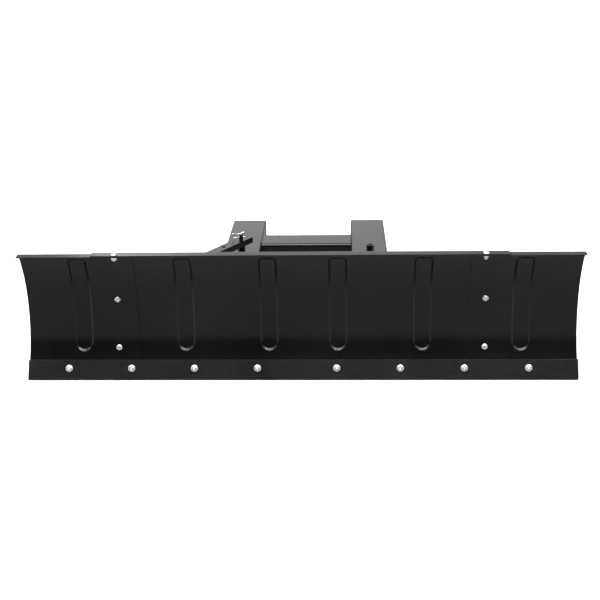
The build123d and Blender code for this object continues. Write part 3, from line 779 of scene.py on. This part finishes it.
def weld(bm, points, size, closed=False):
    """A rippled bead of weld along points, sunk half into the corner it fills."""
    line = []
    ends = points + points[:1] if closed else points
    travelled = 0.0
    radii = []
    for start, end in zip(ends, ends[1:]):
        length = (end - start).length / MM
        count = max(2, round(length / 1.0))
        for k in range(count):
            line.append(start.lerp(end, k / count))
            ripple = abs(math.sin(math.pi * (travelled + length * k / count) / RIPPLE))
            radii.append(size * MM * (0.84 + 0.16 * ripple + weld_dice.uniform(-0.03, 0.03)))
        travelled += length
    if not closed:
        line.append(ends[-1])
        radii.append(size * MM * 0.3)
        radii[0] *= 0.3
        for index, share in ((1, 0.7), (-2, 0.7)):
            radii[index] *= share
    rings = []
    total = len(line)
    sides = 10
    for index, point in enumerate(line):
        if closed:
            before, after = line[index - 1], line[(index + 1) % total]
        else:
            before, after = line[max(index - 1, 0)], line[min(index + 1, total - 1)]
        along = (after - before).normalized()
        guide = Vector((0.31, 0.55, 0.77))
        first = along.cross(guide).normalized()
        second = along.cross(first)
        ring = []
        for k in range(sides):
            angle = 2 * math.pi * k / sides
            spoke = first * math.cos(angle) + second * math.sin(angle)
            ring.append(bm.verts.new(point + spoke * radii[index]))
        rings.append(ring)
    pairs = list(zip(rings, rings[1:]))
    if closed:
        pairs.append((rings[-1], rings[0]))
    for low, high in pairs:
        for k in range(sides):
            after = (k + 1) % sides
            bm.faces.new((low[k], low[after], high[after], high[k]))
    if not closed:
        bm.faces.new(reversed(rings[0]))
        bm.faces.new(rings[-1])


def welds(name, body, material, runs, size):
    """One piece that holds several runs of weld."""
    bm = bmesh.new()
    for points, closed in runs:
        weld(bm, points, size, closed)
    bmesh.ops.recalc_face_normals(bm, faces=bm.faces)
    finish_mesh(bm, 0)
    place(name, bm, material, body)


def arc(centre, radius, start, end, z, count=24):
    """Points round an upright axis, in the working frame."""
    points = []
    for k in range(count + 1):
        angle = math.radians(start + (end - start) * k / count)
        x = centre[0] + radius * math.cos(angle)
        points.append(W(x, centre[1] + radius * math.sin(angle), z))
    return points


RAIL_INNER = 144.0
RAIL_FRONT = 320.0
CROSS_MEMBERS = ((RAIL_FRONT, 400.0), (607.0, 707.0))
NOSE_HALF = 40.0
GUSSET_FACES = (157, 149)
TUBE_LOW = 128
TUBE_HIGH = 178
SLEEVE_RADIUS = 22.0
runs = []
for hand in (-1, 1):
    x = hand * RAIL_INNER
    for front, rear in CROSS_MEMBERS:
        top = RAIL_TOP - 1.2
        outline = [
            W(x, rear, TUBE_LOW),
            W(x, rear, top - 8),
            W(x, rear - 2.6, top - 2.6),
            W(x, rear - 9, top),
            W(x, front + 9, top),
            W(x, front + 2.6, top - 2.6),
            W(x, front, top - 8),
            W(x, front, TUBE_LOW),
        ]
        runs.append((outline, False))
    for z in GUSSET_FACES:
        runs.append(([W(hand * NOSE_HALF, 228, z), W(hand * NOSE_HALF, 318, z)], False))
    for z in GUSSET_FACES:
        runs.append(([W(hand * 44, RAIL_FRONT, z), W(hand * 138, RAIL_FRONT, z)], False))
    post_x = LEFT_POST_X if hand < 0 else RIGHT_POST_X
    runs.append((arc((post_x, POST_Y), POST_RADIUS, 0, 345, RAIL_TOP, 23), True))
for z in (RAIL_TOP - 5, RAIL_BOTTOM + 5):
    runs.append((arc((0, KING_PIN_Y), SLEEVE_RADIUS, 31, 149, z), False))
nose_outline = (
    (-34, TUBE_HIGH),
    (34, TUBE_HIGH),
    (NOSE_HALF, 172),
    (NOSE_HALF, 134),
    (34, TUBE_LOW),
    (-34, TUBE_LOW),
    (-NOSE_HALF, 134),
    (-NOSE_HALF, 172),
)
nose = [W(x, RAIL_FRONT, z) for x, z in nose_outline]
runs.append((nose, True))
eye = [W(x, y, RAIL_TOP) for x, y in ((-4, 345), (4, 345), (4, 375), (-4, 375))]
runs.append((eye, True))
welds("frame_welds", "push_frame", frame_coat, runs, 3.0)

RIB_PLACES = (55.0, 400.0)
RIB_HALF = 2.5
RIB_WELDS = ((-25, -17), (-9, -1), (6, 14), (17, 21.5))
BEAM_FRONT = 104
BEAM_REAR = 129
runs = []
for hand in (-1, 1):
    for place_x in RIB_PLACES:
        for side in (-RIB_HALF, RIB_HALF):
            x = hand * place_x + side
            for low, high in RIB_WELDS:
                points = []
                for k in range(9):
                    angle = math.radians(low + (high - low) * k / 8)
                    points.append(W(x, *on_roll(ROLL_RADIUS + 2 * SHEET, angle)))
                runs.append((points, False))
            runs.append(([W(x, BEAM_FRONT, 130), W(x, BEAM_FRONT, 176)], False))
    for side in (-RIB_HALF, RIB_HALF):
        x = hand * RIB_PLACES[1] + side
        runs.append(([W(x, BEAM_FRONT, 226), W(x, BEAM_FRONT, 255)], False))
    runs.append(([W(hand * 50, BEAM_REAR, 129), W(hand * 50, BEAM_REAR, 177)], False))
for z in (TUBE_LOW, TUBE_HIGH):
    runs.append(([W(-46, BEAM_REAR, z), W(46, BEAM_REAR, z)], False))
welds("blade_welds", "blade", coat, runs, 2.6)

# ---- floor, light and camera ------------------------------------------------------------
floor_mesh = bmesh.new()
bmesh.ops.create_grid(floor_mesh, x_segments=2, y_segments=2, size=14.0)
mesh = bpy.data.meshes.new("floor")
floor_mesh.to_mesh(mesh)
floor_mesh.free()
floor = bpy.data.objects.new("floor", mesh)
bpy.context.scene.collection.objects.link(floor)
material, n = new_material("floor")
where = n.add("ShaderNodeTexCoord").outputs["Object"]
grain = n.noise(where, 3.0, 3.0)
tone = n.blend(n.span(grain, 0.3, 0.7), (0.76, 0.76, 0.755), (0.79, 0.79, 0.785))
shader = n.add("ShaderNodeBsdfPrincipled")
n.tree.links.new(tone, shader.inputs["Base Color"])
shader.inputs["Roughness"].default_value = 0.85
shader.inputs["Specular IOR Level"].default_value = 0.1
out = n.add("ShaderNodeOutputMaterial")
n.tree.links.new(shader.outputs[0], out.inputs[0])
mesh.materials.append(material)
floor.visible_glossy = False

# Light from all round, as glow by direction, with heights as angles above the horizon.
# In front it is bright up to 21 degrees, dark from 27 to 40 and bright again from 50, and the
# strip at the blade's foot mirrors the dark. Behind it is strongest from the horizon to 30
# degrees, weaker to the right and to the far left, with a brighter panel left of the middle.
# Overhead there is a wide strip, with a small strong lamp at its front edge, which the lower
# ends of the beads mirror. The camera itself sees an even, nearly white backdrop.
FRONT_GLOW = (0.82, 0.63)
FRONT_DARK = 0.035
FRONT_HIGH = 0.80
SIDE_GLOW = 0.40
REAR_GLOW = 1.45
OVERHEAD = 4.2
LAMP = 28.0
SIDE_PANEL = 1.8
world = bpy.data.worlds.new("studio")
world.use_nodes = True
bpy.context.scene.world = world
n = Nodes(world.node_tree)
sky = n.add("ShaderNodeTexCoord").outputs["Generated"]
parts = n.add("ShaderNodeSeparateXYZ", i0=sky)
sx, sy, sz = parts.outputs[0], parts.outputs[1], parts.outputs[2]
beside = n.math("ABSOLUTE", sx)
below = n.span(sz, -0.6, -0.42, 1.0, 0.0)
shade = n.math("MULTIPLY", n.span(beside, 0.36, 0.52, 0.0, 0.97), below)
front = n.math("MULTIPLY", n.span(sz, -0.9, 0.3, *FRONT_GLOW), n.math("SUBTRACT", 1.0, shade))
flank = n.math("MULTIPLY", n.span(beside, 0.6, 0.78), n.span(sz, -0.45, -0.3, 0.0, SIDE_GLOW))
front = n.math("ADD", front, flank)
front = n.math("MULTIPLY", front, n.span(sz, 0.36, 0.45, 1.0, 0.0))
front = n.math("ADD", front, n.span(sz, 0.64, 0.76, FRONT_DARK, FRONT_HIGH))
ratio = n.math("DIVIDE", sx, n.math("MAXIMUM", sy, 0.05))
low_rear = n.span(sz, -0.85, -0.55, 0.03, 0.45)
rear = n.math("ADD", low_rear, n.span(sz, -0.15, 0.05, 0.0, 0.61))
rear = n.math("MULTIPLY", rear, n.span(sz, 0.2, 0.3, 1.0, 1.1))
rear = n.math("MULTIPLY", rear, n.span(sz, 0.5, 0.7, 1.0, 0.35))
rear = n.math("MULTIPLY", rear, n.span(ratio, 0.0, 0.22, REAR_GLOW, 0.60 * REAR_GLOW))
panel_end = n.span(ratio, -0.22, -0.13, 1.0, 0.0)
panel = n.math("MULTIPLY", n.span(ratio, -0.275, -0.245), panel_end)
panel = n.math("MULTIPLY", panel, n.span(sz, 0.24, 0.32, 0.0, SIDE_PANEL))
outer = n.span(ratio, -0.29, -0.25, 0.58, 1.0)
rear = n.math("MULTIPLY", rear, n.math("MULTIPLY", outer, n.math("ADD", panel, 1.0)))
behind = n.span(sy, -0.05, 0.25)
glow = n.add("ShaderNodeMix", i0=behind, i2=front, i3=rear).outputs[0]
climb = n.math("MAXIMUM", sz, 0.05)
strip = n.span(n.math("DIVIDE", beside, climb), 1.2, 1.5, 1.0, 0.0)
along = n.math("DIVIDE", sy, climb)
strip = n.math("MULTIPLY", strip, n.span(along, -0.30, -0.22))
strip = n.math("MULTIPLY", strip, n.span(along, 0.38, 0.48, OVERHEAD, 0.0))
glow = n.math("ADD", glow, strip)
lamp = n.span(n.math("DIVIDE", beside, climb), 0.26, 0.48, 1.0, 0.0)
lamp = n.math("MULTIPLY", lamp, n.span(along, -0.45, -0.37))
lamp = n.math("MULTIPLY", lamp, n.span(along, -0.18, -0.10, LAMP, 0.0))
glow = n.math("ADD", glow, lamp)
path = n.add("ShaderNodeLightPath").outputs["Is Camera Ray"]
seen = n.add("ShaderNodeMix", i0=path, i2=glow, i3=0.93).outputs[0]
background = n.add("ShaderNodeBackground", Strength=seen)
background.inputs["Color"].default_value = (1.0, 0.995, 0.985, 1.0)
out = n.add("ShaderNodeOutputWorld")
n.tree.links.new(background.outputs[0], out.inputs[0])

bpy.context.scene.view_settings.view_transform = "Standard"

CAMERA_PLACE = Vector((0.1085, -2.7757, 1.6115))
CAMERA_YAW = math.radians(2.565)
CAMERA_PITCH = math.radians(30.139)
CAMERA_ROLL = math.radians(-1.497)
SENSOR_MM = 36.0
LENS_MM = 62.37
camera_data = bpy.data.cameras.new("camera")
camera_data.sensor_width = SENSOR_MM
camera_data.lens = LENS_MM
camera = bpy.data.objects.new("camera", camera_data)
bpy.context.scene.collection.objects.link(camera)
flat = math.cos(CAMERA_PITCH)
forward = Vector(
    (-math.sin(CAMERA_YAW) * flat, math.cos(CAMERA_YAW) * flat, -math.sin(CAMERA_PITCH))
)
right = forward.cross(Vector((0, 0, 1))).normalized()
upward = right.cross(forward)
rolled_right = right * math.cos(CAMERA_ROLL) + upward * math.sin(CAMERA_ROLL)
rolled_up = upward * math.cos(CAMERA_ROLL) - right * math.sin(CAMERA_ROLL)
turn = Matrix((rolled_right, rolled_up, -forward)).transposed()
camera.matrix_world = Matrix.Translation(CAMERA_PLACE) @ turn.to_4x4()
bpy.context.scene.camera = camera
